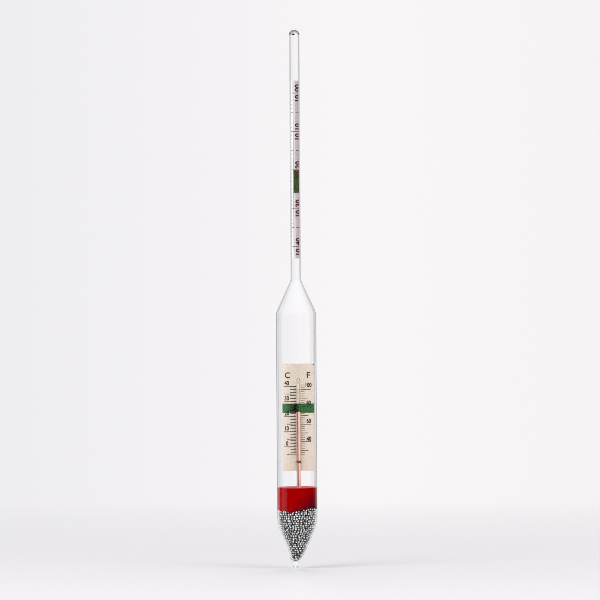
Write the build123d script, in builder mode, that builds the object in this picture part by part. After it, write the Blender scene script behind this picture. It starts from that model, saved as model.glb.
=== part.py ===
from build123d import *
from math import cos, radians, sin, sqrt, tan
import os

# A sealed glass thermo-hydrometer, in millimetres. The origin is the lowest point of the
# glass tip, +Z runs up the stem, and the printed scales face -Y.

os.makedirs("parts", exist_ok=True)

# Barrel, shoulder and stem of the glass envelope.
overall_height = 259.2
barrel_radius = 9.6
barrel_wall = 0.65
barrel_top = 122.6
stem_radius = 2.4
stem_wall = 0.3
shoulder_top = 138.5
weld_height = 140.0
shoulder_fillet = 6.0
throat_fillet = 4.0

# Conical lower end, whose straight flank an arc carries into the barrel.
cone_half_angle = 22.9
cone_foot_height = 4.4
cone_foot_radius = 2.42
cone_arc_radius = 23.0
foot_wall = 0.8
even_wall_height = 13.0
cavity_floor_radius = 0.7
ogive_steps = 17
barrel_run_in = 1.5

# Solid glass bead where the tip was drawn off, which stands a little to one side.
bead_radius = 1.68
bead_neck_radius = 1.5
bead_neck_height = 3.6
bead_girth_height = 1.93
tip_lean = -0.95
lean_power = 8

# Ballast and the wax that locks it.
shot_top = 27.6
wax_top = 39.0
settling_gap = 0.05

# Thermometer: bulb, fine-bore stem and red spirit, a little to the right of the axis.
thermometer_x = 0.85
thermometer_y = -1.0
capillary_radius = 1.1
bore_radius = 0.45
capillary_foot = 36.6
capillary_top = 91.4
capillary_point = 1.6
capillary_point_radius = 0.35
bulb_radius = 3.2
bulb_wall = 0.6
bulb_floor = 16.5
bulb_shoulder = 33.4
bulb_end_fillet = 2.2
contraction_height = 51.2
contraction_radius = 0.72
chamber_height = 89.0
chamber_radius = 0.66

# Spirit: the level stands at 23 degrees C, and one degree is 0.722 mm of bore.
thread_clearance = 0.05
thread_foot = 52.0
spirit_level = 75.3
meniscus_height = 0.7
meniscus_dip_radius = 0.55

# Thermometer card, standing just behind the capillary.
card_width = 15.4
card_thickness = 0.3
card_bottom = 47.0
card_top = 98.4
card_front_y = 0.15
glue_width = 1.7
glue_depth = 0.55
card_glue_length = 3.0
card_glue_heights = {"card_glue_lower": 47.8, "card_glue_upper": 86.0}

# Density scale: a paper slip rolled inside the stem, with its seam left of the front.
slip_radius = 1.85
slip_thickness = 0.12
slip_bottom = 148.9
slip_top = 234.1
slip_seam_width = 0.2
slip_seam_depth = 0.48
slip_seam_angle = -112.0
slip_glue_width = 1.2
slip_glue_length = 2.5
slip_glue_heights = {"slip_glue_lower": 150.0, "slip_glue_upper": 230.5}

# Glass pip left inside the stem where its end was closed.
stem_cavity_top = 257.9
pip_x = -0.55
pip_radius = 0.4
pip_length = 0.9
pip_end_radius = 0.08

half_angle = radians(cone_half_angle)
cone_slope = tan(half_angle)
arc_rise = cone_arc_radius * sin(half_angle)
arc_start_radius = barrel_radius - cone_arc_radius * (1 - cos(half_angle))
arc_start = cone_foot_height + (arc_start_radius - cone_foot_radius) / cone_slope
barrel_bottom = arc_start + arc_rise
barrel_bore = barrel_radius - barrel_wall
stem_bore = stem_radius - stem_wall
loft_top = barrel_bottom + barrel_run_in
thermometer_plane = Plane(origin=(thermometer_x, thermometer_y, 0), x_dir=(1, 0, 0), z_dir=(0, -1, 0))
thermometer_axis = Axis((thermometer_x, thermometer_y, 0), (0, 0, 1))
STANDING = (Align.CENTER, Align.CENTER, Align.MIN)
OUTWARD = (1, 0)
UPWARD = (0, 1)


def outer_radius(height):
    """Outside radius of the lower end: a cone, an arc, then the barrel."""
    if height <= arc_start:
        return cone_foot_radius + (height - cone_foot_height) * cone_slope
    if height < barrel_bottom:
        return barrel_radius - cone_arc_radius + sqrt(cone_arc_radius**2 - (barrel_bottom - height) ** 2)
    return barrel_radius


def inner_radius(height):
    """Inside radius of the lower end, whose wall thickens only near the tip."""
    share = min(1.0, (height - cone_foot_height) / (even_wall_height - cone_foot_height))
    wall = foot_wall + (barrel_wall - foot_wall) * share
    return max(cavity_floor_radius, outer_radius(height) - wall)


def lean_at(height):
    """Sideways offset of the lower end, from nothing at the barrel to tip_lean at its foot."""
    share = min(1.0, (height - cone_foot_height) / (barrel_bottom - cone_foot_height))
    return tip_lean * (1 - share) ** lean_power


def leaning_sections(radius_at, gap=0.0):
    """Circles from the foot of the cone to the barrel, ready for a loft."""
    sections = []
    for step in range(ogive_steps):
        height = cone_foot_height + gap + (barrel_bottom - cone_foot_height - gap) * step / (ogive_steps - 1)
        with BuildSketch(Plane.XY.offset(height)) as ring:
            with Locations((lean_at(height), 0)):
                Circle(radius_at(height) - gap)
        sections.append(ring.sketch.face())
    with BuildSketch(Plane.XY.offset(loft_top)) as ring:
        Circle(radius_at(loft_top) - gap)
    sections.append(ring.sketch.face())
    return sections


def finish(piece, name):
    """Label a finished piece and write it under its own name."""
    piece.part.label = name
    export_step(piece.part, f"parts/{name}.step")


# Bulb glass: bead, leaning cone, barrel and shoulder of one drawn tube.
with BuildPart() as bulb_glass:
    loft(leaning_sections(outer_radius))
    with BuildSketch(Plane.XZ) as outside:
        with BuildLine():
            Polyline(
                (0, loft_top),
                (barrel_radius, loft_top),
                (barrel_radius, barrel_top),
                (stem_radius, shoulder_top),
                (stem_radius, weld_height),
                (0, weld_height),
                close=True,
            )
        make_face()
        shoulder_corner = outside.vertices().sort_by_distance((barrel_radius, barrel_top))[0]
        fillet(shoulder_corner, shoulder_fillet)
        throat_corner = outside.vertices().sort_by_distance((stem_radius, shoulder_top))[0]
        fillet(throat_corner, throat_fillet)
    revolve(axis=Axis.Z)
    with BuildSketch(Plane(origin=(tip_lean, 0, 0), x_dir=(1, 0, 0), z_dir=(0, -1, 0))):
        with BuildLine():
            Spline(
                (0, 0),
                (bead_radius, bead_girth_height),
                (bead_neck_radius, bead_neck_height),
                tangents=(OUTWARD, UPWARD),
            )
            Polyline(
                (bead_neck_radius, bead_neck_height),
                (cone_foot_radius, cone_foot_height),
                (0, cone_foot_height),
                (0, 0),
            )
        make_face()
    revolve(axis=Axis((tip_lean, 0, 0), (0, 0, 1)))
    loft(leaning_sections(inner_radius), mode=Mode.SUBTRACT)
    with BuildSketch(Plane.XZ) as inside:
        with BuildLine():
            Polyline(
                (0, loft_top),
                (barrel_bore, loft_top),
                (barrel_bore, barrel_top),
                (stem_bore, shoulder_top),
                (stem_bore, weld_height),
                (0, weld_height),
                close=True,
            )
        make_face()
        shoulder_corner = inside.vertices().sort_by_distance((barrel_bore, barrel_top))[0]
        fillet(shoulder_corner, shoulder_fillet - barrel_wall)
        throat_corner = inside.vertices().sort_by_distance((stem_bore, shoulder_top))[0]
        fillet(throat_corner, throat_fillet + stem_wall)
    revolve(axis=Axis.Z, mode=Mode.SUBTRACT)
finish(bulb_glass, "bulb_glass")

# Stem glass: a narrow tube welded to the shoulder and closed by a dome.
with BuildPart() as stem_glass:
    with BuildSketch(Plane.XY.offset(weld_height)):
        Circle(stem_radius)
    extrude(amount=overall_height - stem_radius - weld_height)
    with Locations((0, 0, overall_height - stem_radius)):
        Sphere(stem_radius)
    with BuildSketch(Plane.XY.offset(weld_height)):
        Circle(stem_bore)
    extrude(amount=stem_cavity_top - stem_bore - weld_height, mode=Mode.SUBTRACT)
    with Locations((0, 0, stem_cavity_top - stem_bore)):
        Sphere(stem_bore, mode=Mode.SUBTRACT)
    with Locations((pip_x, 0, stem_cavity_top - pip_length)):
        Cone(pip_end_radius, pip_radius, pip_length, align=STANDING)
finish(stem_glass, "stem_glass")

# Density slip: paper rolled almost shut, printed on the outside.
with BuildPart() as density_slip:
    with BuildSketch(Plane.XY.offset(slip_bottom)):
        Circle(slip_radius)
        Circle(slip_radius - slip_thickness, mode=Mode.SUBTRACT)
        with PolarLocations(slip_radius, 1, start_angle=slip_seam_angle):
            Rectangle(slip_seam_depth, slip_seam_width, mode=Mode.SUBTRACT)
    extrude(amount=slip_top - slip_bottom)
finish(density_slip, "density_slip")

# Dabs that fix the slip to the back of the stem's bore.
for name, height in slip_glue_heights.items():
    with BuildPart() as slip_glue:
        with BuildSketch(Plane.XY.offset(height)):
            Circle(stem_bore)
            Circle(slip_radius, mode=Mode.SUBTRACT)
            with Locations((0, stem_bore)):
                Rectangle(slip_glue_width, stem_bore, mode=Mode.INTERSECT)
        extrude(amount=slip_glue_length)
    finish(slip_glue, name)

# Thermometer bulb: a thin glass reservoir drawn in to meet the capillary.
with BuildPart() as thermometer_bulb:
    for inset, mode in ((0.0, Mode.ADD), (bulb_wall, Mode.SUBTRACT)):
        neck_radius = bore_radius if inset else capillary_radius
        side = bulb_radius - inset
        with BuildSketch(thermometer_plane) as profile:
            with BuildLine():
                Polyline(
                    (0, bulb_floor + inset),
                    (side, bulb_floor + inset),
                    (side, bulb_shoulder),
                    (neck_radius, capillary_foot - bulb_wall),
                    (neck_radius, capillary_foot),
                    (0, capillary_foot),
                    close=True,
                )
            make_face()
            round_corner = profile.vertices().sort_by_distance((side, bulb_floor))[0]
            fillet(round_corner, bulb_end_fillet)
        revolve(axis=thermometer_axis, mode=mode)
finish(thermometer_bulb, "thermometer_bulb")

# Thermometer stem: thick capillary with a contraction below and a chamber above.
with BuildPart() as thermometer_stem:
    with BuildSketch(thermometer_plane):
        with BuildLine():
            Polyline(
                (0, capillary_foot),
                (capillary_radius, capillary_foot),
                (capillary_radius, capillary_top - capillary_point),
                (capillary_point_radius, capillary_top),
                (0, capillary_top),
                close=True,
            )
        make_face()
    revolve(axis=thermometer_axis)
    with Locations((thermometer_x, thermometer_y, capillary_foot)):
        Cylinder(bore_radius, chamber_height - capillary_foot, align=STANDING, mode=Mode.SUBTRACT)
    with Locations((thermometer_x, thermometer_y, contraction_height)):
        Sphere(contraction_radius, mode=Mode.SUBTRACT)
    with Locations((thermometer_x, thermometer_y, chamber_height)):
        Sphere(chamber_radius, mode=Mode.SUBTRACT)
finish(thermometer_stem, "thermometer_stem")

# Spirit reservoir: the red liquid in the bulb, up to just above the contraction.
thread_radius = bore_radius - thread_clearance
with BuildPart() as spirit_reservoir:
    with BuildSketch(thermometer_plane) as liquid:
        side = bulb_radius - bulb_wall - thread_clearance
        with BuildLine():
            Polyline(
                (0, bulb_floor + bulb_wall + thread_clearance),
                (side, bulb_floor + bulb_wall + thread_clearance),
                (side, bulb_shoulder),
                (thread_radius, capillary_foot - bulb_wall - thread_clearance),
                (thread_radius, thread_foot),
                (0, thread_foot),
                close=True,
            )
        make_face()
        round_corner = liquid.vertices().sort_by_distance((side, bulb_floor))[0]
        fillet(round_corner, bulb_end_fillet)
    revolve(axis=thermometer_axis)
    with Locations((thermometer_x, thermometer_y, contraction_height)):
        Sphere(contraction_radius - thread_clearance)
finish(spirit_reservoir, "spirit_reservoir")

# Spirit thread: the column that grows and shrinks with temperature.
meniscus_foot = spirit_level - meniscus_height
with BuildPart() as spirit_thread:
    with Locations((thermometer_x, thermometer_y, thread_foot)):
        Cylinder(thread_radius, meniscus_foot - thread_foot, align=STANDING)
finish(spirit_thread, "spirit_thread")

# Spirit meniscus: the hollowed top of the column, which carries the reading.
with BuildPart() as spirit_meniscus:
    with Locations((thermometer_x, thermometer_y, meniscus_foot)):
        Cylinder(thread_radius, meniscus_height, align=STANDING)
    dip_centre = spirit_level + sqrt(meniscus_dip_radius**2 - thread_radius**2)
    with Locations((thermometer_x, thermometer_y, dip_centre)):
        Sphere(meniscus_dip_radius, mode=Mode.SUBTRACT)
finish(spirit_meniscus, "spirit_meniscus")

# Thermometer card: flat, and almost as wide as the barrel's bore.
with BuildPart() as thermometer_card:
    with BuildSketch(Plane.XY.offset(card_bottom)):
        with Locations((thermometer_x, card_front_y + card_thickness / 2)):
            Rectangle(card_width, card_thickness)
    extrude(amount=card_top - card_bottom)
finish(thermometer_card, "thermometer_card")

# Dabs that bed the back of the capillary on the card.
for name, height in card_glue_heights.items():
    with BuildPart() as card_glue:
        with BuildSketch(Plane.XY.offset(height)):
            with Locations((thermometer_x, card_front_y - glue_depth / 2)):
                Rectangle(glue_width, glue_depth)
            with Locations((thermometer_x, thermometer_y)):
                Circle(capillary_radius, mode=Mode.SUBTRACT)
        extrude(amount=card_glue_length)
    finish(card_glue, name)


def thermometer_envelope(gap):
    """The outside of bulb and capillary as far as the wax, grown by a gap."""
    with BuildPart() as envelope:
        with BuildSketch(thermometer_plane):
            with BuildLine():
                Polyline(
                    (0, bulb_floor - gap),
                    (bulb_radius + gap, bulb_floor - gap),
                    (bulb_radius + gap, bulb_shoulder),
                    (capillary_radius + gap, capillary_foot - bulb_wall + gap),
                    (capillary_radius + gap, wax_top),
                    (0, wax_top),
                    close=True,
                )
            make_face()
        revolve(axis=thermometer_axis)
    return envelope.part


# Wax plug: red wax poured on the ballast, which also holds the thermometer upright.
with BuildPart() as wax_plug:
    with BuildSketch(Plane.XY.offset(shot_top)):
        Circle(barrel_bore)
    extrude(amount=wax_top - shot_top)
    add(thermometer_envelope(settling_gap), mode=Mode.SUBTRACT)
finish(wax_plug, "wax_plug")

# Ballast shot: the closed outer form of the packed steel balls.
with BuildPart() as ballast_shot:
    loft(leaning_sections(inner_radius, settling_gap))
    with BuildSketch(Plane.XY.offset(loft_top)):
        Circle(barrel_bore - settling_gap)
    extrude(amount=shot_top - loft_top)
    add(thermometer_envelope(settling_gap), mode=Mode.SUBTRACT)
finish(ballast_shot, "ballast_shot")
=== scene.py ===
import random
from math import atan2, ceil, cos, exp, pi, radians, sin, sqrt, tan

import bmesh
import bpy
from mathutils import Matrix, Vector


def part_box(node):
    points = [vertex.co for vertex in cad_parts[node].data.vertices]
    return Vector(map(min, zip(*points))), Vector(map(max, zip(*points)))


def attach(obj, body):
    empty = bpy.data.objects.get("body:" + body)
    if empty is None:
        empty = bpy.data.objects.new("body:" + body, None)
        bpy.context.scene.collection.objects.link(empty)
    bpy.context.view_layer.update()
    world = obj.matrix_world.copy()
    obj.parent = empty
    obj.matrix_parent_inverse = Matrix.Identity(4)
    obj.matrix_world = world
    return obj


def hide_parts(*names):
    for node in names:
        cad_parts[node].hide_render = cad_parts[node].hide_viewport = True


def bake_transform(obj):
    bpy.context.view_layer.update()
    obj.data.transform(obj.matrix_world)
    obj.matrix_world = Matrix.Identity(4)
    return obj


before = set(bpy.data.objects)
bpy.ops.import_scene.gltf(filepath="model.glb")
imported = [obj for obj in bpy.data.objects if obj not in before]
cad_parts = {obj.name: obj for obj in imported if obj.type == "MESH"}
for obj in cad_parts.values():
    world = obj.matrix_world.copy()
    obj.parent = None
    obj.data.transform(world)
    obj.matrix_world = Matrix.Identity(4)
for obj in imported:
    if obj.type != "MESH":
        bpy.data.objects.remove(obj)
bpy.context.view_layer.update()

MM = 0.001
FLOAT = "float"
UP = Vector((0, 0, 1))
# Name of the ball attribute that carries the painted shade in the gaps between the balls
GAP_SHADE_NAME = "toward_glass"
luck = random.Random(7)

# ---------------------------------------------------------------------------------------
# Sizes that the frame gives, in metres
# ---------------------------------------------------------------------------------------

bulb_low, bulb_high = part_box("bulb_glass")
stem_low, stem_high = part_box("stem_glass")
slip_low, slip_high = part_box("density_slip")
card_low, card_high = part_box("thermometer_card")
tube_low, tube_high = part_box("thermometer_stem")
level_low, level_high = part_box("spirit_meniscus")
pool_low, pool_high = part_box("spirit_reservoir")
wax_low, wax_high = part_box("wax_plug")
shot_low, shot_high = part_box("ballast_shot")

barrel_radius = (bulb_high.x - bulb_low.x) / 2
barrel_bore = (wax_high.x - wax_low.x) / 2
barrel_wall = barrel_radius - barrel_bore
stem_radius = (stem_high.x - stem_low.x) / 2
weld = bulb_high.z
tube_axis = (tube_low + tube_high) / 2
tube_radius = (tube_high.x - tube_low.x) / 2
pool_radius = (pool_high.x - pool_low.x) / 2
slip_radius = (slip_high.y - slip_low.y) / 2

# ---------------------------------------------------------------------------------------
# Glassblower's proportions, which the frame's boxes don't give
# ---------------------------------------------------------------------------------------

CONE_ANGLE = radians(22.9)
CONE_FOOT_HEIGHT = 4.4 * MM
CONE_FOOT_RADIUS = 2.42 * MM
CONE_FOOT_WALL = 0.8 * MM
EVEN_WALL_HEIGHT = 13.0 * MM
CONE_ARC = 23 * MM
BEAD_RADIUS = 1.68 * MM
BEAD_NECK = 1.5 * MM
BEAD_NECK_HEIGHT = 3.6 * MM
TIP_LEAN = -0.95 * MM
LEAN_POWER = 8
SHOULDER_DROP = 17.4 * MM
THROAT_DROP = 1.5 * MM
SHOULDER_ARC = 6 * MM
THROAT_ARC = 4 * MM
STEM_WALL = 0.3 * MM
STEM_CAVITY_DROP = 1.3 * MM
BORE_RADIUS = 0.60 * MM
SPIN_STEPS = 96
ARC_STEPS = 14
WETTING = 0.005 * MM
SEAM_SHADE = 0.10
# Offset, half width and strength of the dark reflection line painted on the spirit
REFLECTION_LEFT = 0.30 * MM
REFLECTION_HALF_WIDTH = 0.27 * MM
REFLECTION_STRENGTH = 2.4
# Angle from the front, height and radius in millimetres of each bubble in the wall
SEEDS = ((30, 116.4, 0.16), (-48, 104.0, 0.10), (140, 88.0, 0.12))

cone_corner = CONE_FOOT_HEIGHT + (barrel_radius - CONE_FOOT_RADIUS) / tan(CONE_ANGLE)
cone_end = cone_corner + CONE_ARC * tan(CONE_ANGLE / 2)
shoulder = weld - SHOULDER_DROP
throat = weld - THROAT_DROP
stem_bore = stem_radius - STEM_WALL


# ---------------------------------------------------------------------------------------
# Shader maths
# ---------------------------------------------------------------------------------------


class Value:
    """A socket that takes part in arithmetic, by adding Math nodes to its tree."""

    def __init__(self, paint, socket):
        self.paint = paint
        self.socket = socket

    def maths(self, operation, first, second=0.0):
        return self.paint.node("ShaderNodeMath", {"operation": operation}, {0: first, 1: second})[0]

    def __add__(self, other):
        return self.maths("ADD", self, other)

    def __sub__(self, other):
        return self.maths("SUBTRACT", self, other)

    def __rsub__(self, other):
        return self.maths("SUBTRACT", other, self)

    def __mul__(self, other):
        return self.maths("MULTIPLY", self, other)

    def __gt__(self, other):
        return self.maths("GREATER_THAN", self, other)

    def __lt__(self, other):
        return self.maths("LESS_THAN", self, other)

    __radd__ = __add__
    __rmul__ = __mul__

    def __abs__(self):
        return self.maths("ABSOLUTE", self)

    def cosine(self):
        return self.maths("COSINE", self)

    def turn_from(self, ahead):
        """The angle about Z whose sideways part is this value and whose forward part is the other."""
        return self.maths("ARCTAN2", self, ahead)

    def clamped(self):
        return self.paint.node("ShaderNodeClamp", {}, {"Value": self})[0]


class Paint:
    """A node tree of a material, or of the world."""

    def __init__(self, name, owner=None):
        self.material = owner or bpy.data.materials.new(name)
        self.material.use_nodes = True
        self.tree = self.material.node_tree
        self.tree.nodes.clear()

    def node(self, kind, settings=None, inputs=None):
        """Adds a node, makes its settings, fills its sockets and returns its outputs."""
        made = self.tree.nodes.new(kind)
        for key, setting in (settings or {}).items():
            if key == "stops":
                self.set_stops(made.color_ramp, setting)
            else:
                setattr(made, key, setting)
        for key, given in (inputs or {}).items():
            if isinstance(given, Value):
                self.tree.links.new(given.socket, made.inputs[key])
            else:
                made.inputs[key].default_value = given
        return Outputs(self, made)

    @staticmethod
    def set_stops(ramp, stops):
        while len(ramp.elements) < len(stops):
            ramp.elements.new(1.0)
        for element, (place, shade) in zip(ramp.elements, stops):
            element.position = place
            element.color = shade

    def place(self):
        return self.node("ShaderNodeTexCoord")["Object"]

    def axes(self):
        """X, Y and Z of the object coordinates, in metres."""
        split = self.node("ShaderNodeSeparateXYZ", {}, {"Vector": self.place()})
        return split["X"], split["Y"], split["Z"]

    def noise(self, scale, detail=2.0, stretch=(1.0, 1.0, 1.0), roughness=0.5):
        """Cloudy noise, with scale in cells per metre."""
        vector = self.node("ShaderNodeMapping", {}, {"Vector": self.place(), "Scale": stretch})[0]
        inputs = {"Vector": vector, "Scale": scale, "Detail": detail, "Roughness": roughness}
        return self.node("ShaderNodeTexNoise", {}, inputs)[0]

    def between(self, share, first, second):
        """A colour part of the way from the first to the second."""
        inputs = {"Factor": share, "A": first, "B": second}
        return self.node("ShaderNodeMix", {"data_type": "RGBA"}, inputs)["Result"]

    def tinted(self, shade, tint):
        """One colour multiplied by another."""
        inputs = {"Factor": 1.0, "A": shade, "B": tint}
        return self.node("ShaderNodeMix", {"data_type": "RGBA", "blend_type": "MULTIPLY"}, inputs)["Result"]

    def bump(self, height, distance, strength=1.0):
        inputs = {"Height": height, "Distance": distance, "Strength": strength}
        return self.node("ShaderNodeBump", {}, inputs)[0]

    def surface(self, **inputs):
        """A Principled shader, whose sockets are named with underscores for spaces."""
        named = {key.replace("_", " "): given for key, given in inputs.items()}
        return self.node("ShaderNodeBsdfPrincipled", {}, named)[0]

    def finish(self, shader):
        self.node("ShaderNodeOutputMaterial", {}, {"Surface": shader})
        return self.material


class Outputs:
    """A node's outputs, wrapped so that they take part in arithmetic."""

    def __init__(self, paint, made):
        self.paint = paint
        self.made = made

    def __getitem__(self, key):
        if isinstance(key, int):
            return Value(self.paint, [s for s in self.made.outputs if s.enabled][key])
        found = [s for s in self.made.outputs if s.name == key and s.enabled]
        return Value(self.paint, found[0])


def rgb(red, green, blue):
    return (red, green, blue, 1.0)


def clear_glass(name, tint, ripple, cells):
    """Glass with the faint lengthwise ripple of drawn tube, which lets the lamps through."""
    paint = Paint(name)
    wave = paint.noise(cells, 1.0, (1.0, 1.0, 0.04))
    shader = paint.surface(
        Base_Color=tint,
        Roughness=0.0,
        IOR=1.45,
        Specular_Tint=rgb(0.62, 0.62, 0.62),
        Transmission_Weight=1.0,
        Normal=paint.bump(wave, ripple, 1.0),
    )
    rays = paint.node("ShaderNodeLightPath")
    passing = paint.node("ShaderNodeBsdfTransparent", {}, {"Color": tint})[0]
    lit = paint.node("ShaderNodeMixShader", {}, {0: rays["Is Shadow Ray"], 1: shader, 2: passing})[0]
    mixed = paint.node("ShaderNodeMixShader", {}, {0: rays["Is Diffuse Ray"], 1: lit, 2: passing})[0]
    return paint.finish(mixed)


def printed_paper(name, sheet, fibre, grain, lit_strip=None, shadow=None):
    """Matt paper with a fine tooth and pale fibres.

    Painted light on a rolled slip is given by three angles: where a near-white lit strip starts,
    where the seam with its painted shadow line is, and where a paler lit band ends. A shadow gives how far
    the capillary's painted shade reaches to each side of it.
    """
    paint = Paint(name)
    tooth = paint.noise(grain, 3.0)
    cloud = paint.noise(220.0, 2.0)
    flecks = (paint.noise(grain * 0.35, 2.0, (1.0, 1.0, 0.35)) - 0.5) * 0.5 + cloud * 0.6
    shade = paint.between(flecks.clamped(), sheet, fibre)
    if lit_strip:
        start, seam, paler_lit_end = lit_strip
        x, y, _ = paint.axes()
        turn = x.turn_from(0 - y)
        # Painted light: a paler band from the start angle to its end angle
        paler_lit = (turn < paler_lit_end) * (turn > start)
        shade = paint.between(paler_lit, shade, rgb(0.60, 0.57, 0.575))
        # Painted light: the strip from the start angle to the seam is near white
        beside = (turn < seam) * (turn > start)
        shade = paint.between(beside, shade, rgb(0.93, 0.92, 0.92))
        # Painted shadow: a dark line along the seam
        seam_shadow = (turn < seam + SEAM_SHADE) * (turn > seam - SEAM_SHADE)
        shade = paint.between(seam_shadow, shade, rgb(0.30, 0.285, 0.29))
    if shadow:
        x, _, _ = paint.axes()
        near = (1 - abs(x - tube_axis.x) * (1 / shadow)).clamped()
        shade = paint.between(near * 0.30, shade, rgb(0.40, 0.315, 0.22))
    return paint.finish(
        paint.surface(
            Base_Color=shade,
            Roughness=0.72 + 0.2 * tooth,
            Normal=paint.bump(tooth, 0.02 * MM, 0.5),
        )
    )


def ink(name, solid, thin, left_shade=None):
    """Printing ink, worn where the paper's tooth shows through, and shaded left of the capillary."""
    paint = Paint(name)
    wear = (paint.noise(5200.0, 2.0) - 0.45) * 2.4
    shade = paint.between(wear.clamped(), solid, thin)
    if left_shade:
        x, _, _ = paint.axes()
        beside = ((1.3 - (tube_axis.x - x) * (1.3 / left_shade)) * (x < tube_axis.x)).clamped()
        shade = paint.between(beside, shade, rgb(0.001, 0.009, 0.001))
    return paint.finish(
        paint.surface(
            Base_Color=shade,
            Roughness=0.45 + 0.25 * paint.noise(3000.0),
        )
    )


def cast_wax():
    """Red wax set against the glass, with a painted highlight at the left and a painted sheen on top;
    deeper low down and to the right.
    """
    paint = Paint("cast_red_wax")
    x, y, z = paint.axes()
    depth = (wax_high.z - z) * (1 / (wax_high.z - wax_low.z))
    cloud = paint.noise(300.0, 3.0) - 0.5
    low_right = (depth * 0.9 + x * 75.0 - 0.42 + cloud * 0.5).clamped()
    # Painted highlight: the wax is paler towards the left
    left = (x * -160.0 - 0.75 + cloud * 0.4).clamped()
    body = paint.between(left, rgb(0.28, 0.0, 0.0), rgb(0.46, 0.008, 0.014))
    body = paint.between(low_right, body, rgb(0.025, 0.001, 0.006))
    # Painted sheen: the top surface is lightened to pale pink
    top_sheen = ((z - wax_high.z) * (1 / (0.12 * MM)) + 1.5).clamped()
    body = paint.between(top_sheen, body, rgb(0.50, 0.12, 0.13))
    shrink = paint.noise(420.0, 2.0, (1.0, 1.0, 0.15))
    return paint.finish(
        paint.surface(
            Base_Color=body,
            Roughness=0.30 + 0.2 * shrink,
            Specular_IOR_Level=0.0,
            Normal=paint.bump(shrink, 0.08 * MM, 0.3),
        )
    )


def shot_steel():
    """Bright balls, each a little different in tarnish, with painted shade that darkens them into the gaps
    between them.
    """
    paint = Paint("bright_steel_shot")
    tarnish = ((paint.noise(1150.0, 1.0) - 0.5) * 2.4 + 0.5).clamped()
    bare = paint.between(tarnish, rgb(1.0, 1.0, 1.0), rgb(0.86, 0.855, 0.86))
    # Painted shade: the attribute darkens each ball towards the gaps and darkens the back layer
    outward = paint.node("ShaderNodeAttribute", {"attribute_name": GAP_SHADE_NAME})["Fac"]
    return paint.finish(
        paint.surface(
            Base_Color=paint.between(outward, rgb(0.004, 0.004, 0.005), bare),
            Metallic=0.10,
            Roughness=0.34 + 0.16 * tarnish,
        )
    )


def shot_depth():
    """Painted shade: near-black for the shadow between and behind the balls, faintly mottled grey."""
    paint = Paint("dark_between_shot")
    mottle = paint.noise(2400.0, 2.0)
    return paint.finish(
        paint.surface(
            Base_Color=paint.between(mottle, rgb(0.004, 0.004, 0.005), rgb(0.014, 0.013, 0.013)),
            Roughness=0.8,
        )
    )


def dyed_spirit():
    """Pale red spirit, with a painted dark reflection line just left of its axis."""
    paint = Paint("dyed_spirit")
    x, _, _ = paint.axes()
    cloud = paint.noise(900.0, 1.0, (1.0, 1.0, 0.2))
    body = paint.between(cloud, rgb(0.92, 0.60, 0.52), rgb(0.84, 0.47, 0.39))
    # Painted reflection: a dark line just left of the column's axis
    dark_reflection = ((1 - abs(x - (tube_axis.x - REFLECTION_LEFT)) * (1 / REFLECTION_HALF_WIDTH)) * REFLECTION_STRENGTH).clamped()
    return paint.finish(
        paint.surface(
            Base_Color=paint.between(dark_reflection, body, rgb(0.20, 0.055, 0.04)),
            Roughness=0.12 + 0.05 * cloud,
        )
    )


def dark_spirit():
    """The same spirit where the bore swells and it looks almost brown."""
    paint = Paint("dark_spirit")
    cloud = paint.noise(900.0, 1.0)
    return paint.finish(
        paint.surface(
            Base_Color=paint.between(cloud, rgb(0.24, 0.035, 0.03), rgb(0.14, 0.015, 0.015)),
            Roughness=0.15 + 0.1 * cloud,
        )
    )


def dried_glue():
    paint = Paint("dried_glue")
    cloud = paint.noise(1100.0, 2.0)
    return paint.finish(
        paint.surface(
            Base_Color=paint.between(cloud, rgb(0.80, 0.74, 0.62), rgb(0.66, 0.58, 0.44)),
            Roughness=0.25 + 0.3 * cloud,
            Normal=paint.bump(cloud, 0.05 * MM, 0.6),
        )
    )


glass = clear_glass("drawn_glass", rgb(0.998, 1.0, 0.999), 0.003 * MM, 260.0)
fine_glass = clear_glass("capillary_glass", rgb(1.0, 0.997, 0.992), 0.001 * MM, 900.0)
# Angles of the slip's painted light and seam shadow. Its dark mauve sheet is partly the paper's tint and
# partly painted shade.
slip_lit_strip = (radians(-100), radians(-27), radians(2))
slip_paper = printed_paper(
    "tinted_shaded_slip_paper", rgb(0.40, 0.35, 0.37), rgb(0.51, 0.455, 0.475), 5200.0, lit_strip=slip_lit_strip
)
card_paper = printed_paper(
    "buff_card", rgb(0.62, 0.535, 0.45), rgb(0.73, 0.64, 0.545), 4200.0, shadow=7.0 * MM
)
black_ink = ink("black_ink", rgb(0.012, 0.011, 0.011), rgb(0.035, 0.03, 0.03))
red_ink = ink("dark_red_ink", rgb(0.070, 0.008, 0.010), rgb(0.12, 0.016, 0.018))
green_ink = ink("green_band_ink", rgb(0.020, 0.115, 0.024), rgb(0.055, 0.18, 0.052), left_shade=5.5 * MM)
slip_green = ink("slip_green_ink", rgb(0.030, 0.060, 0.012), rgb(0.075, 0.115, 0.030))
wax = cast_wax()
steel = shot_steel()
depth_dark = shot_depth()
spirit = dyed_spirit()
spirit_dark = dark_spirit()
glue = dried_glue()


# ---------------------------------------------------------------------------------------
# Making pieces
# ---------------------------------------------------------------------------------------


def piece(name, mesh, material, body=FLOAT, nodes=(), smooth=True):
    """Turns a bmesh into a finished object that rides on a body and may replace CAD nodes."""
    data = bpy.data.meshes.new(name)
    mesh.to_mesh(data)
    mesh.free()
    data.materials.append(material)
    if smooth:
        data.shade_smooth()
    made = bpy.data.objects.new(name, data)
    bpy.context.scene.collection.objects.link(made)
    if body:
        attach(made, body)
    if nodes:
        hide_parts(*nodes)
    return made


def divided(points, longest):
    """The same profile with its long runs cut into even pieces, which keeps smooth shading true."""
    finer = [points[0]]
    for start, end in zip(points, points[1:]):
        cuts = max(1, ceil((end - start).length / longest))
        finer += [start.lerp(end, (cut + 1) / cuts) for cut in range(cuts)]
    return finer


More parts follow.
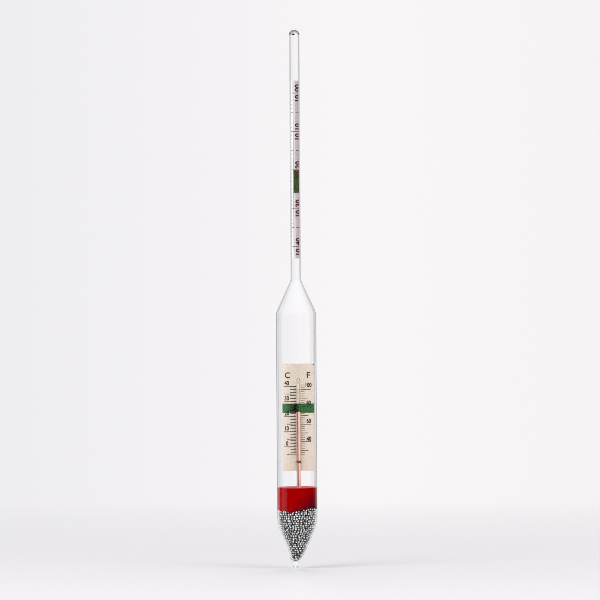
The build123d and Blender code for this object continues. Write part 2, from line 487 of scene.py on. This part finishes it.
def outline(corners, longest=3 * MM):
    """A half profile through corners (radius, height, fillet), each turned by an arc."""
    points = [Vector(corners[0][:2])]
    for before, here, after in zip(corners, corners[1:], corners[2:]):
        corner = Vector(here[:2])
        into = (corner - Vector(before[:2])).normalized()
        out = (Vector(after[:2]) - corner).normalized()
        turn = atan2(into.cross(out), into.dot(out))
        reach = here[2] * tan(abs(turn) / 2)
        support = 0.08 * reach
        start = corner - into * reach
        if (start - points[-1]).length > 3 * support:
            points.append(start - into * support)
        side = Vector((-into.y, into.x)) * (1 if turn > 0 else -1)
        centre = start + side * here[2]
        for step in range(ARC_STEPS + 1):
            arm = start - centre
            arm.rotate(Matrix.Rotation(turn * step / ARC_STEPS, 2))
            points.append(centre + arm)
        end = corner + out * reach
        if (Vector(after[:2]) - end).length > 3 * support:
            points.append(end + out * support)
    points.append(Vector(corners[-1][:2]))
    return divided(points, longest)


def turned(mesh, points, steps=SPIN_STEPS, hollow=False):
    """Spins a half profile about Z into the mesh; a hollow one faces inwards."""
    part = bmesh.new()
    verts = [part.verts.new((point.x, 0, point.y)) for point in points]
    edges = [part.edges.new(pair) for pair in zip(verts, verts[1:])]
    bmesh.ops.spin(
        part,
        geom=verts + edges,
        cent=(0, 0, 0),
        axis=UP,
        dvec=(0, 0, 0),
        angle=2 * pi,
        steps=steps,
        use_merge=True,
        use_duplicate=False,
        use_normal_flip=False,
    )
    bmesh.ops.remove_doubles(part, verts=part.verts, dist=MM * 0.002)
    bmesh.ops.recalc_face_normals(part, faces=part.faces)
    if hollow:
        bmesh.ops.reverse_faces(part, faces=part.faces)
    join(mesh, part)


def join(mesh, part):
    """Adds a part to a mesh and frees it."""
    held = bpy.data.meshes.new("held")
    part.to_mesh(held)
    part.free()
    mesh.from_mesh(held)
    bpy.data.meshes.remove(held)


def bar(mesh, low, high, cuts=0):
    """A thin block between two corners, cut into strips along X where it will be bent."""
    low, high = Vector(low), Vector(high)
    part = bmesh.new()
    size = Matrix.Diagonal((*(high - low), 1))
    bmesh.ops.create_cube(part, size=1, matrix=Matrix.Translation((low + high) / 2) @ size)
    slice_along_x(part, low.x, high.x, cuts)
    join(mesh, part)


def slice_along_x(part, left, right, cuts):
    for cut in range(1, cuts + 1):
        bmesh.ops.bisect_plane(
            part,
            geom=part.verts[:] + part.edges[:] + part.faces[:],
            plane_co=(left + (right - left) * cut / (cuts + 1), 0, 0),
            plane_no=(1, 0, 0),
        )


def lettering(mesh, words, height, centre, width=1.0, weight=0.02, upward=False, cuts=0, thick=0.03 * MM):
    """Solid figures that face -Y, centred on a point, or reading up the stem."""
    curve = bpy.data.curves.new("figures", "FONT")
    curve.body = words
    curve.align_x = "CENTER"
    curve.align_y = "CENTER"
    curve.resolution_u = 3
    curve.offset = weight
    holder = bpy.data.objects.new("figures", curve)
    bpy.context.scene.collection.objects.link(holder)
    bpy.context.view_layer.update()
    flat = bpy.data.meshes.new_from_object(holder.evaluated_get(bpy.context.evaluated_depsgraph_get()))
    bpy.data.objects.remove(holder)
    bpy.data.curves.remove(curve)
    part = bmesh.new()
    part.from_mesh(flat)
    bpy.data.meshes.remove(flat)
    bmesh.ops.remove_doubles(part, verts=part.verts, dist=1e-5)
    low_y = min(v.co.y for v in part.verts)
    high_y = max(v.co.y for v in part.verts)
    middle_x = (min(v.co.x for v in part.verts) + max(v.co.x for v in part.verts)) / 2
    scale = height / (high_y - low_y)
    bmesh.ops.translate(part, verts=part.verts, vec=(-middle_x, -(low_y + high_y) / 2, 0))
    bmesh.ops.scale(part, verts=part.verts, vec=(scale * width, scale, 1))
    grown = bmesh.ops.extrude_face_region(part, geom=part.faces[:])
    raised = [g for g in grown["geom"] if isinstance(g, bmesh.types.BMVert)]
    bmesh.ops.translate(part, verts=raised, vec=(0, 0, thick))
    bmesh.ops.recalc_face_normals(part, faces=part.faces)
    if upward:
        bmesh.ops.rotate(part, verts=part.verts, cent=(0, 0, 0), matrix=Matrix.Rotation(pi / 2, 3, "Z"))
    bmesh.ops.rotate(part, verts=part.verts, cent=(0, 0, 0), matrix=Matrix.Rotation(pi / 2, 3, "X"))
    bmesh.ops.translate(part, verts=part.verts, vec=centre)
    if cuts:
        left = min(v.co.x for v in part.verts)
        right = max(v.co.x for v in part.verts)
        slice_along_x(part, left, right, cuts)
    join(mesh, part)


# ---------------------------------------------------------------------------------------
# Glass envelope
# ---------------------------------------------------------------------------------------


def lean(height):
    """Sideways offset of the cone, which grows towards the tip."""
    share = min(1.0, max(0.0, (height - CONE_FOOT_HEIGHT) / (cone_end - CONE_FOOT_HEIGHT)))
    return TIP_LEAN * (1 - share) ** LEAN_POWER


def lean_over(mesh):
    for vert in mesh.verts:
        vert.co.x += lean(vert.co.z)


def cavity_radius(height):
    """Inside radius of the cone and the barrel at a height."""
    outside = CONE_FOOT_RADIUS + (height - CONE_FOOT_HEIGHT) * tan(CONE_ANGLE)
    arc_foot = cone_end - CONE_ARC * sin(CONE_ANGLE)
    if height > arc_foot:
        drop = max(0.0, cone_end - height)
        outside = barrel_radius - CONE_ARC + sqrt(CONE_ARC**2 - drop**2)
    share = min(1.0, (height - CONE_FOOT_HEIGHT) / (EVEN_WALL_HEIGHT - CONE_FOOT_HEIGHT))
    return outside - (CONE_FOOT_WALL + (barrel_wall - CONE_FOOT_WALL) * share)


def make_envelope():
    """Bulb and stem, welded into one glass body with one closed hollow."""
    mesh = bmesh.new()
    top = stem_high.z
    outside = outline(
        [
            (0, 0, 0),
            (BEAD_RADIUS, 0, 1.45 * MM),
            (BEAD_RADIUS, 2.9 * MM, 0.9 * MM),
            (BEAD_NECK, BEAD_NECK_HEIGHT, 0.5 * MM),
            (CONE_FOOT_RADIUS, CONE_FOOT_HEIGHT, 1.0 * MM),
            (barrel_radius, cone_corner, CONE_ARC),
            (barrel_radius, shoulder, SHOULDER_ARC),
            (stem_radius, throat, THROAT_ARC),
            (stem_radius, top, stem_radius * 0.995),
            (0, top, 0),
        ]
    )
    foot = CONE_FOOT_HEIGHT + 0.15 * MM
    inner_top = top - STEM_CAVITY_DROP
    inside = outline(
        [
            (0, foot, 0),
            (CONE_FOOT_RADIUS - CONE_FOOT_WALL, foot, 0.3 * MM),
            (cavity_radius(EVEN_WALL_HEIGHT), EVEN_WALL_HEIGHT, 12 * MM),
            (barrel_bore, cone_corner, CONE_ARC - barrel_wall),
            (barrel_bore, shoulder, SHOULDER_ARC - barrel_wall),
            (stem_bore, throat, THROAT_ARC + STEM_WALL),
            (stem_bore, inner_top, stem_bore * 0.99),
            (0, inner_top, 0),
        ]
    )
    turned(mesh, outside)
    turned(mesh, inside, hollow=True)
    seed = bmesh.new()
    wall_middle = (barrel_radius + barrel_bore) / 2
    for turn, height, size in SEEDS:
        side = radians(turn)
        place = Vector((wall_middle * sin(side), -wall_middle * cos(side), height * MM))
        stretched = Matrix.Translation(place) @ Matrix.Diagonal((1, 1, 1.6, 1))
        bmesh.ops.create_icosphere(seed, subdivisions=2, radius=size * MM, matrix=stretched)
    bmesh.ops.reverse_faces(seed, faces=seed.faces)
    join(mesh, seed)
    lean_over(mesh)
    piece("glass_envelope", mesh, glass, nodes=["bulb_glass", "stem_glass"])


# ---------------------------------------------------------------------------------------
# Density slip: paper, graduations and figures, drawn flat and then rolled
# ---------------------------------------------------------------------------------------

SEAM = radians(-22)
OVERLAP = radians(24)
ROLL_IN = 0.14 * MM
PAPER = 0.1 * MM
INK = 0.012 * MM
FIRST_LINE_DROP = 5.9 * MM
THOUSANDTH = 1.8425 * MM
GREEN_LINES = (20, 26)
GREEN_END = -100
LINE_START = -74
SHORT_LINE_END = -50
LONG_LINE_END = -24
FIFTH_LINE_START = 12
TENTH_LINE_START = -21
FRONT_LINE_END = 80
FIGURES_AT = 46
SLIP_FIGURE = 3.0 * MM
SLIP_FIGURE_APART = 2.4 * MM


def rolled(mesh):
    """Bends a flat drawing round the stem's bore: X is the arc from the front, -Y is outwards."""
    for vert in mesh.verts:
        turn = vert.co.x / slip_radius
        share = (turn - SEAM) / (2 * pi)
        radius = slip_radius - ROLL_IN * share - vert.co.y
        vert.co = Vector((radius * sin(turn), -radius * cos(turn), vert.co.z))
    return mesh


def arc(degrees):
    """Place round the slip, as a length, with the left of the seam at the far end of the roll."""
    turn = radians(degrees)
    return slip_radius * (turn if turn >= SEAM else turn + 2 * pi)


def line_height(thousandths):
    return slip_high.z - FIRST_LINE_DROP - THOUSANDTH * thousandths


def make_density_slip():
    paper = bmesh.new()
    left, right = slip_radius * SEAM, slip_radius * (SEAM + 2 * pi + OVERLAP)
    bar(paper, (left, 0, slip_low.z), (right, PAPER, slip_high.z), 90)
    piece("rolled_slip", rolled(paper), slip_paper, nodes=["density_slip"], smooth=False)

    band = bmesh.new()
    low, high = line_height(GREEN_LINES[1]), line_height(GREEN_LINES[0])
    bar(band, (left, -INK, low), (arc(GREEN_END), 0, high), 70)
    piece("slip_green_band", rolled(band), slip_green, smooth=False)

    lines = bmesh.new()
    for thousandths in range(0, 41):
        height = line_height(thousandths)
        half = (0.09 if thousandths % 5 else 0.12) * MM
        ends = [(LINE_START, SHORT_LINE_END if thousandths % 5 else LONG_LINE_END)]
        if thousandths % 10 == 0:
            ends.append((TENTH_LINE_START, FRONT_LINE_END))
        elif thousandths % 5 == 0:
            ends.append((FIFTH_LINE_START, FRONT_LINE_END))
        for start, end in ends:
            bar(lines, (arc(start), -2 * INK, height - half), (arc(end), -INK / 2, height + half), 8)
    piece("slip_lines", rolled(lines), black_ink, smooth=False)

    figures = bmesh.new()
    for tens in range(0, 5):
        for words, side in (("10", -1), (f"{tens}0", 1)):
            place = (arc(FIGURES_AT), -INK, line_height(10 * tens) + side * SLIP_FIGURE_APART)
            lettering(figures, words, SLIP_FIGURE, place, 0.92, 0.035, upward=True, cuts=16, thick=INK)
    piece("slip_figures", rolled(figures), red_ink, smooth=False)


# ---------------------------------------------------------------------------------------
# Thermometer card and its printing
# ---------------------------------------------------------------------------------------

ZERO_C = 11.5 * MM
DEGREE = 0.722 * MM
DEGREE_F = 0.4178 * MM
FORTY_F = 13.9 * MM
CARD_INK = 0.02 * MM
GREEN_CELSIUS = (22.5, 28.7)
CAPILLARY_GAP = 1.15 * MM
# Degrees that get a mark, its reach from the capillary's axis and its thickness in millimetres
CELSIUS_MARKS = (
    (range(-4, 42, 2), 3.9, 0.34),
    (range(-3, 41, 2), 2.3, 0.24),
    (range(-5, 40, 10), 5.7, 0.26),
    (range(0, 50, 10), 7.0, 0.26),
)
CARD_FIGURE = 2.25 * MM
CARD_FIGURE_RISE = 1.65 * MM
CARD_LETTER = 2.9 * MM
CARD_LETTER_DROP = 5.6 * MM
CELSIUS_FIGURES_AT = -5.55 * MM
FAHRENHEIT_FIGURES_AT = 4.95 * MM
CORNER_INSET = 0.45 * MM
CORNER_HALF = Vector((0.25, 0, 0.3)) * MM
card_face = card_low.y


def celsius(degrees):
    return card_low.z + ZERO_C + DEGREE * degrees


def fahrenheit(degrees):
    return card_low.z + FORTY_F + DEGREE_F * (degrees - 40)


def ruled(mesh, left, right, height, thick):
    bar(mesh, (left, card_face - 2 * CARD_INK, height - thick / 2), (right, card_face, height + thick / 2))


def make_card():
    card = bmesh.new()
    bar(card, card_low, card_high)
    bmesh.ops.bevel(
        card, geom=card.edges[:], offset=0.07 * MM, segments=2, profile=0.5, material=-1, affect="EDGES"
    )
    piece("scale_card", card, card_paper, nodes=["thermometer_card"], smooth=False)

    band = bmesh.new()
    low, high = (celsius(degrees) for degrees in GREEN_CELSIUS)
    bar(band, (card_low.x, card_face - CARD_INK, low), (card_high.x, card_face, high))
    piece("card_green_band", band, green_ink, smooth=False)

    lines = bmesh.new()
    centre = tube_axis.x
    for marks, reach, thick in CELSIUS_MARKS:
        for degrees in marks:
            ruled(lines, centre - reach * MM, centre - CAPILLARY_GAP, celsius(degrees), thick * MM)
    for step in range(0, 33):
        ruled(lines, centre + CAPILLARY_GAP, centre + 3.0 * MM, fahrenheit(25 + 2.5 * step), 0.17 * MM)
    for degrees in range(30, 110, 10):
        reach = 6.0 if degrees % 20 == 0 else 4.7
        ruled(lines, centre + CAPILLARY_GAP, centre + reach * MM, fahrenheit(degrees), 0.26 * MM)
    corner = Vector((card_high.x - CORNER_INSET, card_face, card_high.z - CORNER_INSET))
    bar(lines, corner - CORNER_HALF - Vector((0, CARD_INK, 0)), corner + CORNER_HALF)
    piece("card_lines", lines, black_ink, smooth=False)

    figures = bmesh.new()
    thick = 2 * CARD_INK
    for degrees in range(0, 50, 10):
        place = (centre + CELSIUS_FIGURES_AT, card_face, celsius(degrees) + CARD_FIGURE_RISE)
        lettering(figures, str(degrees), CARD_FIGURE, place, 0.74, 0.03, thick=thick)
    for degrees in range(40, 120, 20):
        rise = 0.85 * CARD_FIGURE_RISE + 0.012 * MM * (degrees - 40)
        place = (centre + FAHRENHEIT_FIGURES_AT, card_face, fahrenheit(degrees) + rise)
        lettering(figures, str(degrees), CARD_FIGURE, place, 0.74, 0.03, thick=thick)
    letter_height = card_high.z - CARD_LETTER_DROP
    for letter, aside, width, weight in (("C", -5.2, 0.95, 0.02), ("F", 4.9, 1.0, 0.01)):
        place = (centre + aside * MM, card_face, letter_height)
        lettering(figures, letter, CARD_LETTER, place, width, weight, thick=thick)
    piece("card_figures", figures, black_ink, smooth=False)


# ---------------------------------------------------------------------------------------
# Thermometer: capillary, spirit column and pool
# ---------------------------------------------------------------------------------------

CHAMBER_DROP = 2.4 * MM
CHAMBER_RADIUS = 0.70 * MM
POINT = 1.6 * MM
POINT_RADIUS = 0.35 * MM
CONTRACTION_RISE = 14.6 * MM
CONTRACTION_RADIUS = 0.80 * MM
COLUMN_FOOT = 1.03
CUP_DEPTH = 0.2 * MM


def on_tube_axis(mesh):
    bmesh.ops.translate(mesh, verts=mesh.verts, vec=(tube_axis.x, tube_axis.y, 0))
    return mesh


def make_thermometer_stem():
    mesh = bmesh.new()
    foot, top = tube_low.z, tube_high.z
    outside = outline(
        [
            (0, foot, 0),
            (tube_radius, foot, 0.1 * MM),
            (tube_radius, top - POINT, 1.2 * MM),
            (POINT_RADIUS, top, 0.3 * MM),
            (0, top, 0),
        ]
    )
    turned(mesh, outside, 64)
    chamber = top - CHAMBER_DROP
    swell = foot + CONTRACTION_RISE
    bore = outline(
        [
            (0, foot + 0.1 * MM, 0),
            (BORE_RADIUS, foot + 0.1 * MM, 0.05 * MM),
            (BORE_RADIUS, swell - CONTRACTION_RADIUS, 0.1 * MM),
            (CONTRACTION_RADIUS, swell, 0.3 * MM),
            (BORE_RADIUS, swell + CONTRACTION_RADIUS, 0.1 * MM),
            (BORE_RADIUS, chamber - CHAMBER_RADIUS, 0.2 * MM),
            (CHAMBER_RADIUS, chamber, 0.3 * MM),
            (0, chamber + CHAMBER_RADIUS, 0),
        ]
    )
    turned(mesh, bore, 48, hollow=True)
    piece("capillary", on_tube_axis(mesh), fine_glass, nodes=["thermometer_stem"])


def make_spirit():
    """A column that reaches from the pool up to the level, with a hollow top at the level."""
    column = bmesh.new()
    foot = pool_low.z + (tube_low.z - pool_low.z) * COLUMN_FOOT
    radius = BORE_RADIUS + WETTING
    rim = level_high.z
    wall = [Vector((radius, foot + (level_low.z - foot) * step / 80)) for step in range(81)]
    cup = [Vector((radius, rim - 0.05 * MM)), Vector((radius * 0.93, rim - 0.04 * MM))]
    cup += [Vector((radius * share, rim - CUP_DEPTH * (1 - share**2))) for share in (0.8, 0.6, 0.4, 0.2, 0)]
    turned(column, [Vector((0, foot))] + wall + cup, 32)
    made = piece("spirit_column", on_tube_axis(column), spirit, body=None)
    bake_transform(made)
    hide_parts("spirit_thread", "spirit_meniscus")

    pool = bmesh.new()
    neck = tube_low.z
    turned(
        pool,
        outline(
            [
                (0, pool_low.z, 0),
                (pool_radius, pool_low.z, 2.2 * MM),
                (pool_radius, neck - 3.2 * MM, 1.0 * MM),
                (BORE_RADIUS * 0.9, neck - 0.6 * MM, 0.1 * MM),
                (BORE_RADIUS * 0.9, neck + 1.0 * MM, 0.1 * MM),
                (0, neck + 1.0 * MM, 0),
            ]
        ),
        48,
    )
    piece("spirit_pool", on_tube_axis(pool), spirit, nodes=["spirit_reservoir"])

    swell = tube_low.z + CONTRACTION_RISE
    knot = bmesh.new()
    turned(
        knot,
        outline(
            [
                (0, swell - CONTRACTION_RADIUS, 0),
                (BORE_RADIUS * 1.15, swell - 0.55 * MM, 0.2 * MM),
                (CONTRACTION_RADIUS, swell, 0.3 * MM),
                (BORE_RADIUS * 1.15, swell + 0.55 * MM, 0.2 * MM),
                (0, swell + CONTRACTION_RADIUS, 0),
            ]
        ),
        32,
    )
    piece("spirit_knot", on_tube_axis(knot), spirit_dark)


# ---------------------------------------------------------------------------------------
# Wax and shot
# ---------------------------------------------------------------------------------------

SHOT_RADIUS = 0.60 * MM
SHOT_ROWS = 0.90
HANDFUL = 30
GAP_FACING = 0.60
CROWN_FACING = 0.82
# Painted shade: shine of the back layer of balls, which keeps them almost black
BACK_LAYER_SHADE = 0.02
SHINES = (1.0, 1.0, 1.0, 0.7, 0.4)
SINK = 0.15 * MM
WAX_SINK = 0.12 * MM
# Angle from the front, depth in millimetres and width in degrees of each dip in the wax's lower edge
WAX_DIPS = ((-22, 1.9, 13), (-64, 0.7, 14), (14, 0.3, 16), (52, -0.6, 22), (120, 1.0, 25), (200, -1.2, 30))
PIP_SHIFT = Vector((-0.50, 0, -1.0)) * MM
# Angle from the front, distance from the axis and radius in millimetres of each crumb of wax
CRUMBS = ((60, 7.2, 0.32), (68, 7.9, 0.22), (20, 6.4, 0.2), (-10, 7.6, 0.18), (150, 6.0, 0.3))


def wax_edge(turn):
    """Height of the ragged lower edge of the wax at an angle from the front, in metres."""
    height = wax_low.z + 0.9 * MM
    for place, dip, width in WAX_DIPS:
        away = (turn - radians(place) + pi) % (2 * pi) - pi
        height -= dip * MM * exp(-((away / radians(width)) ** 2))
    return height + 0.22 * MM * sin(9 * turn) + 0.15 * MM * sin(23 * turn + 1)


def make_wax():
    mesh = bmesh.new()
    outer = barrel_bore + WAX_SINK
    top = wax_high.z
    low = wax_low.z
    profile = [(0, low + 0.4 * MM), (outer * 0.4, low + 0.3 * MM), (outer * 0.8, low + 0.2 * MM)]
    profile += [(outer * 0.97, low), (outer, low + 0.25 * MM)]
    profile += [(outer, low + (top - low) * share) for share in (0.1, 0.2, 0.35, 0.5, 0.7, 0.9, 0.98)]
    profile += [(outer, top + 0.25 * MM), (outer - 0.25 * MM, top + 0.22 * MM), (outer - 0.8 * MM, top)]
    profile += [(outer * 0.6, top - 0.12 * MM), (outer * 0.3, top - 0.1 * MM), (0, top - 0.1 * MM)]
    turned(mesh, [Vector(point) for point in profile], 180)
    for vert in mesh.verts:
        turn = atan2(vert.co.x, -vert.co.y)
        radius = Vector((vert.co.x, vert.co.y)).length
        near_wall = min(1.0, radius / outer) ** 3
        low_share = max(0.0, 1 - (vert.co.z - low) / (0.45 * (top - low)))
        vert.co.z += (wax_edge(turn) - low) * near_wall * low_share
        if vert.co.z > top - 0.5 * MM:
            vert.co.z += 0.03 * MM * sin(3 * turn + 0.6) + 0.02 * MM * sin(11 * turn + 500 * radius)
    piece("wax_fill", mesh, wax, nodes=["wax_plug"])


def shot_places():
    """Ball centres and shine, row on row against the glass, with the rows behind them painted dark as
    shade.
    """
    places = []
    for layer in range(2):
        inset = SHOT_RADIUS * (1.0 + 1.5 * layer) - SINK
        height = shot_low.z + SHOT_RADIUS * 1.2
        while height < shot_high.z + 3 * MM:
            radius = cavity_radius(height) - inset / cos(CONE_ANGLE)
            slope = cos(CONE_ANGLE) if height < cone_corner else 1.0
            if radius < SHOT_RADIUS:
                if layer == 0:
                    places.append((Vector((lean(height), 0, height)), 1.0))
                height += 2 * SHOT_RADIUS * SHOT_ROWS
                continue
            count = int(2 * pi * radius / (2.04 * SHOT_RADIUS))
            phase = luck.uniform(0, 2 * pi)
            for ball in range(count):
                turn = phase + 2 * pi * (ball + luck.uniform(-0.22, 0.22)) / count
                up = luck.uniform(-0.34, 0.34) * SHOT_RADIUS
                reach = radius + luck.uniform(-0.18, 0.0) * SHOT_RADIUS + up * tan(CONE_ANGLE) * (slope < 1)
                if height + up > wax_edge(turn) + 0.2 * MM:
                    continue
                place = Vector((reach * sin(turn) + lean(height + up), -reach * cos(turn), height + up))
                shine = luck.choice(SHINES) * luck.uniform(0.8, 1.0)
                places.append((place, shine * (BACK_LAYER_SHADE if layer else 1.0)))
            height += 2 * SHOT_RADIUS * SHOT_ROWS * slope
    return places


def shade_gaps(data, places):
    """Paints shade into each ball: marks how far each point faces the glass, from 0 in the gaps to 1 at its
    crown, times the ball's shine.
    """
    marks = data.attributes.new(GAP_SHADE_NAME, "FLOAT", "POINT")
    each = len(data.vertices) // len(places)
    for ball, (place, shine) in enumerate(places):
        outward = Vector((place.x - lean(place.z), place.y, 0)).normalized()
        if place.z < cone_corner:
            outward.z = -tan(CONE_ANGLE)
        outward.normalize()
        for index in range(ball * each, (ball + 1) * each):
            facing = (data.vertices[index].co - place).dot(outward) / SHOT_RADIUS
            share = min(1.0, max(0.0, (facing - GAP_FACING) / (CROWN_FACING - GAP_FACING)))
            marks.data[index].value = share * shine


def make_shot():
    places = shot_places()
    for name, chosen in (("shot_wall", places[0::2]), ("shot_fill", places[1::2])):
        mesh = bmesh.new()
        for first in range(0, len(chosen), HANDFUL):
            part = bmesh.new()
            for place, _ in chosen[first : first + HANDFUL]:
                bmesh.ops.create_icosphere(
                    part, subdivisions=2, radius=SHOT_RADIUS, matrix=Matrix.Translation(place)
                )
            join(mesh, part)
        made = piece(name, mesh, steel, nodes=["ballast_shot"] if name == "shot_wall" else ())
        shade_gaps(made.data, chosen)

    core = bmesh.new()
    inset = 2.6 * SHOT_RADIUS
    foot, rise = shot_low.z + 2.5 * MM, shot_high.z - shot_low.z - 2.3 * MM
    heights = [foot + rise * step / 12 for step in range(13)]
    profile = [Vector((0, heights[0] - 0.5 * MM))]
    profile += [Vector((max(0.2 * MM, cavity_radius(height) - inset), height)) for height in heights]
    profile += [Vector((0, heights[-1]))]
    turned(core, profile, 48)
    lean_over(core)
    piece("shot_shadow", core, depth_dark)


def make_small_marks():
    """The pip inside the stem's closed end and crumbs of wax on the plug."""
    pip = bmesh.new()
    top = stem_high.z - STEM_CAVITY_DROP
    shape = [(0, top - 0.8 * MM, 0), (0.95 * MM, top - 0.5 * MM, 0.08 * MM), (0, top + 0.7 * MM, 0)]
    turned(pip, outline(shape), 24)
    bmesh.ops.translate(pip, verts=pip.verts, vec=PIP_SHIFT)
    piece("stem_pip", pip, depth_dark)

    crumbs = bmesh.new()
    for turn, radius, size in CRUMBS:
        place = Vector((radius * sin(radians(turn)), -radius * cos(radians(turn)), 0)) * MM
        place.z = wax_high.z + 0.1 * MM
        made = bmesh.ops.create_icosphere(crumbs, subdivisions=2, radius=size * MM)
        for vert in made["verts"]:
            vert.co *= luck.uniform(0.8, 1.15)
        bmesh.ops.translate(crumbs, verts=made["verts"], vec=place)
    piece("wax_crumbs", crumbs, wax)


# ---------------------------------------------------------------------------------------
# Stage, lamps and camera
# ---------------------------------------------------------------------------------------

CAMERA_DISTANCE = 2.40
PICTURE_WIDTH = 0.288
CAMERA_LEAN = 0.0065
AIM = Vector((1.95 * MM, 0, 128.9 * MM))
FLOOR_CLEAR = 0.10
FLOOR_FADE = 0.80
PANELS = 8
THROUGH_GLASS = rgb(1.07, 1.07, 1.075)
CEILING = rgb(0.45, 0.45, 0.45)


def make_floor():
    """A pale floor that fades into the backdrop's white away from the object."""
    paint = Paint("pale_floor")
    away = paint.node("ShaderNodeVectorMath", {"operation": "LENGTH"}, {0: paint.place()})["Value"]
    share = ((away - FLOOR_CLEAR) * (1 / (FLOOR_FADE - FLOOR_CLEAR))).clamped()
    grain = paint.noise(900.0, 2.0)
    tone = paint.between(grain, rgb(0.795, 0.785, 0.800), rgb(0.82, 0.81, 0.825))
    matt = paint.surface(Base_Color=tone, Roughness=0.35 + 0.04 * grain, Specular_IOR_Level=0.06)
    open_air = paint.node("ShaderNodeBsdfTransparent")[0]
    paint.finish(paint.node("ShaderNodeMixShader", {}, {0: share, 1: matt, 2: open_air})[0])
    mesh = bmesh.new()
    bmesh.ops.create_circle(mesh, cap_ends=True, segments=96, radius=FLOOR_FADE * 1.05)
    data = bpy.data.meshes.new("floor")
    mesh.to_mesh(data)
    mesh.free()
    data.materials.append(paint.material)
    floor = bpy.data.objects.new("floor", data)
    bpy.context.scene.collection.objects.link(floor)


def make_world():
    """Bright panels all round with shaded gaps, and a dim room with bright strips in reflections."""
    world = bpy.data.worlds.new("studio")
    bpy.context.scene.world = world
    paint = Paint("studio", world)
    way = paint.node("ShaderNodeTexCoord")["Generated"]
    split = paint.node("ShaderNodeSeparateXYZ", {}, {"Vector": way})
    panel = (split["X"].turn_from(split["Y"]) * PANELS).cosine() * 0.5 + 0.5
    stops = [
        (0.00, rgb(0.46, 0.455, 0.47)),
        (0.30, rgb(0.56, 0.555, 0.57)),
        (0.62, rgb(0.86, 0.845, 0.86)),
        (0.84, rgb(0.945, 0.925, 0.935)),
    ]
    pale = paint.node("ShaderNodeValToRGB", {"stops": stops}, {0: panel})["Color"]
    across = [
        (0.00, rgb(0.905, 0.910, 0.925)),
        (0.40, rgb(0.960, 0.960, 0.970)),
        (0.58, rgb(1.0, 0.995, 1.0)),
        (1.00, rgb(0.968, 0.965, 0.968)),
    ]
    warm = paint.node("ShaderNodeValToRGB", {"stops": across}, {0: split["X"] * 8.0 + 0.5})["Color"]
    backdrop = paint.tinted(pale, warm)
    strips = [
        (0.00, rgb(0.06, 0.06, 0.06)),
        (0.03, rgb(0.18, 0.18, 0.18)),
        (0.06, rgb(0.66, 0.66, 0.67)),
        (0.10, rgb(0.84, 0.84, 0.85)),
        (0.165, rgb(0.88, 0.88, 0.89)),
        (0.18, rgb(0.03, 0.03, 0.03)),
        (0.222, rgb(0.03, 0.03, 0.03)),
        (0.238, rgb(0.90, 0.90, 0.90)),
        (0.325, rgb(0.70, 0.70, 0.70)),
        (0.34, rgb(0.0, 0.0, 0.0)),
        (0.79, rgb(0.0, 0.0, 0.0)),
        (0.81, rgb(0.20, 0.20, 0.21)),
        (0.84, rgb(0.04, 0.04, 0.04)),
        (0.865, rgb(0.60, 0.60, 0.61)),
        (0.91, rgb(0.84, 0.84, 0.85)),
        (0.94, rgb(0.66, 0.66, 0.67)),
        (0.97, rgb(0.18, 0.18, 0.18)),
        (1.00, rgb(0.06, 0.06, 0.06)),
    ]
    front_turn = split["X"].turn_from(0 - split["Y"]) * (0.5 / pi) + 0.5
    room = paint.node("ShaderNodeValToRGB", {"stops": strips}, {0: front_turn})["Color"]
    above = ((split["Z"] - 0.45) * 4.0).clamped()
    studio = paint.between(above, room, CEILING)
    path = paint.node("ShaderNodeLightPath")
    lifted = paint.tinted(backdrop, THROUGH_GLASS)
    behind = paint.between(path["Transmission Depth"] > 0.5, backdrop, lifted)
    seen = paint.between(path["Glossy Depth"] > 0.5, behind, studio)
    glow = paint.node("ShaderNodeBackground", {}, {"Color": seen, "Strength": 1.0})
    paint.node("ShaderNodeOutputWorld", {}, {"Surface": glow[0]})
    world.cycles.sampling_method = "NONE"


def make_lamp(name, azimuth, elevation, distance, size, power):
    """A soft box that looks at the middle of the object."""
    lamp = bpy.data.lights.new(name, "AREA")
    lamp.shape = "RECTANGLE"
    lamp.size, lamp.size_y = size
    lamp.energy = power
    holder = bpy.data.objects.new(name, lamp)
    turn, rise = radians(azimuth), radians(elevation)
    way = Vector((sin(turn) * cos(rise), -cos(turn) * cos(rise), sin(rise)))
    holder.location = AIM + way * distance
    holder.rotation_mode = "QUATERNION"
    holder.rotation_quaternion = way.to_track_quat("Z", "Y")
    holder.visible_camera = False
    holder.visible_glossy = False
    holder.visible_transmission = False
    bpy.context.scene.collection.objects.link(holder)


def make_camera():
    lens = bpy.data.cameras.new("camera")
    lens.sensor_width = 36
    lens.lens = 36 * CAMERA_DISTANCE / PICTURE_WIDTH
    lens.clip_start = 0.01
    holder = bpy.data.objects.new("camera", lens)
    holder.location = AIM + Vector((0, -CAMERA_DISTANCE, 0))
    holder.rotation_euler = (pi / 2, CAMERA_LEAN, 0)
    bpy.context.scene.collection.objects.link(holder)
    bpy.context.scene.camera = holder


def make_studio():
    make_floor()
    make_world()
    make_lamp("left_key", -40, 35, 1.2, (0.7, 0.7), 7.5)
    make_lamp("right_fill", 45, 35, 1.2, (0.8, 0.8), 5.5)
    make_lamp("back_fill", 180, 45, 1.3, (0.8, 0.8), 5)
    make_camera()
    scene = bpy.context.scene
    scene.view_settings.view_transform = "Standard"
    scene.cycles.caustics_reflective = False
    scene.cycles.caustics_refractive = False
    scene.cycles.filter_width = 0.9
    scene.cycles.max_bounces = 28
    scene.cycles.transmission_bounces = 24
    scene.cycles.glossy_bounces = 8
    scene.cycles.transparent_max_bounces = 32


def dress_cad_nodes():
    """Finishes for the CAD nodes that stay."""
    finishes = {"thermometer_bulb": fine_glass}
    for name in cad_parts:
        if "glue" in name:
            finishes[name] = glue
    for name, material in finishes.items():
        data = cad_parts[name].data
        data.materials.clear()
        data.materials.append(material)


make_studio()
make_envelope()
make_density_slip()
make_card()
make_thermometer_stem()
make_spirit()
make_wax()
make_shot()
make_small_marks()
dress_cad_nodes()
